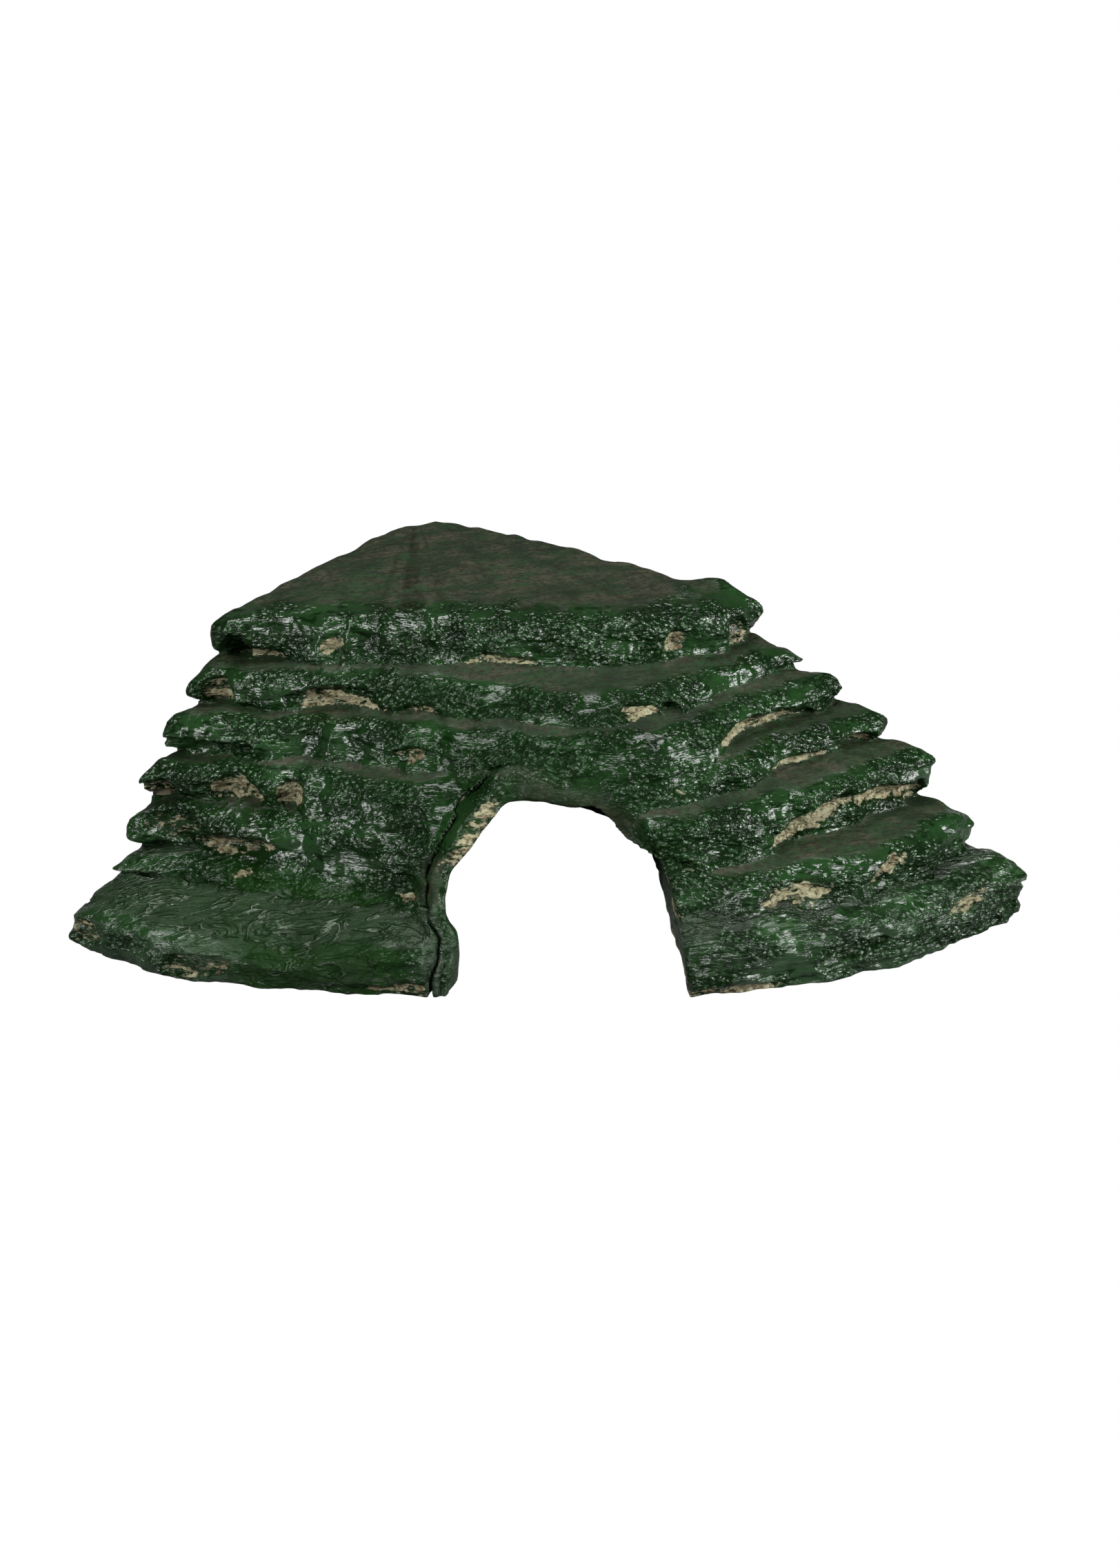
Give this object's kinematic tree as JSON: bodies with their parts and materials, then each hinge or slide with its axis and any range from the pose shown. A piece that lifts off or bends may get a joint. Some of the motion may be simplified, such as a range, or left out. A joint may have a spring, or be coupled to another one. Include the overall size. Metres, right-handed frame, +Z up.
{
  "type": "aquarium corner cave ornament",
  "caption": "Terraced rock ornament for an aquarium corner: ledges step up to a flat basking platform over a dead-end cave that opens at the front.",
  "frame": {"origin": "on the floor, at the bottom centre of the ornament's bounding box", "axes": "+Z up; -Y towards the front and the cave mouth; +X to the right of someone who faces the cave mouth"},
  "size_m": [0.297, 0.1998, 0.088],
  "materials": {
    "painted_rock": "glossy dark green paint over tan resin, dry-brushed grey on the treads",
    "cave_rock": "satin dark green over tan resin",
    "back_resin": "satin dark green paint, sanded flat",
    "putty": "matt epoxy putty"
  },
  "bodies": {
    "root": {"platform_slab": "painted_rock", "bridge_ledges": "painted_rock", "left_flank": "painted_rock", "right_flank": "painted_rock", "cave_liner": "cave_rock", "left_back_wall": "back_resin", "right_back_wall": "back_resin", "putty_beads": "putty"}
  },
  "joints": []
}
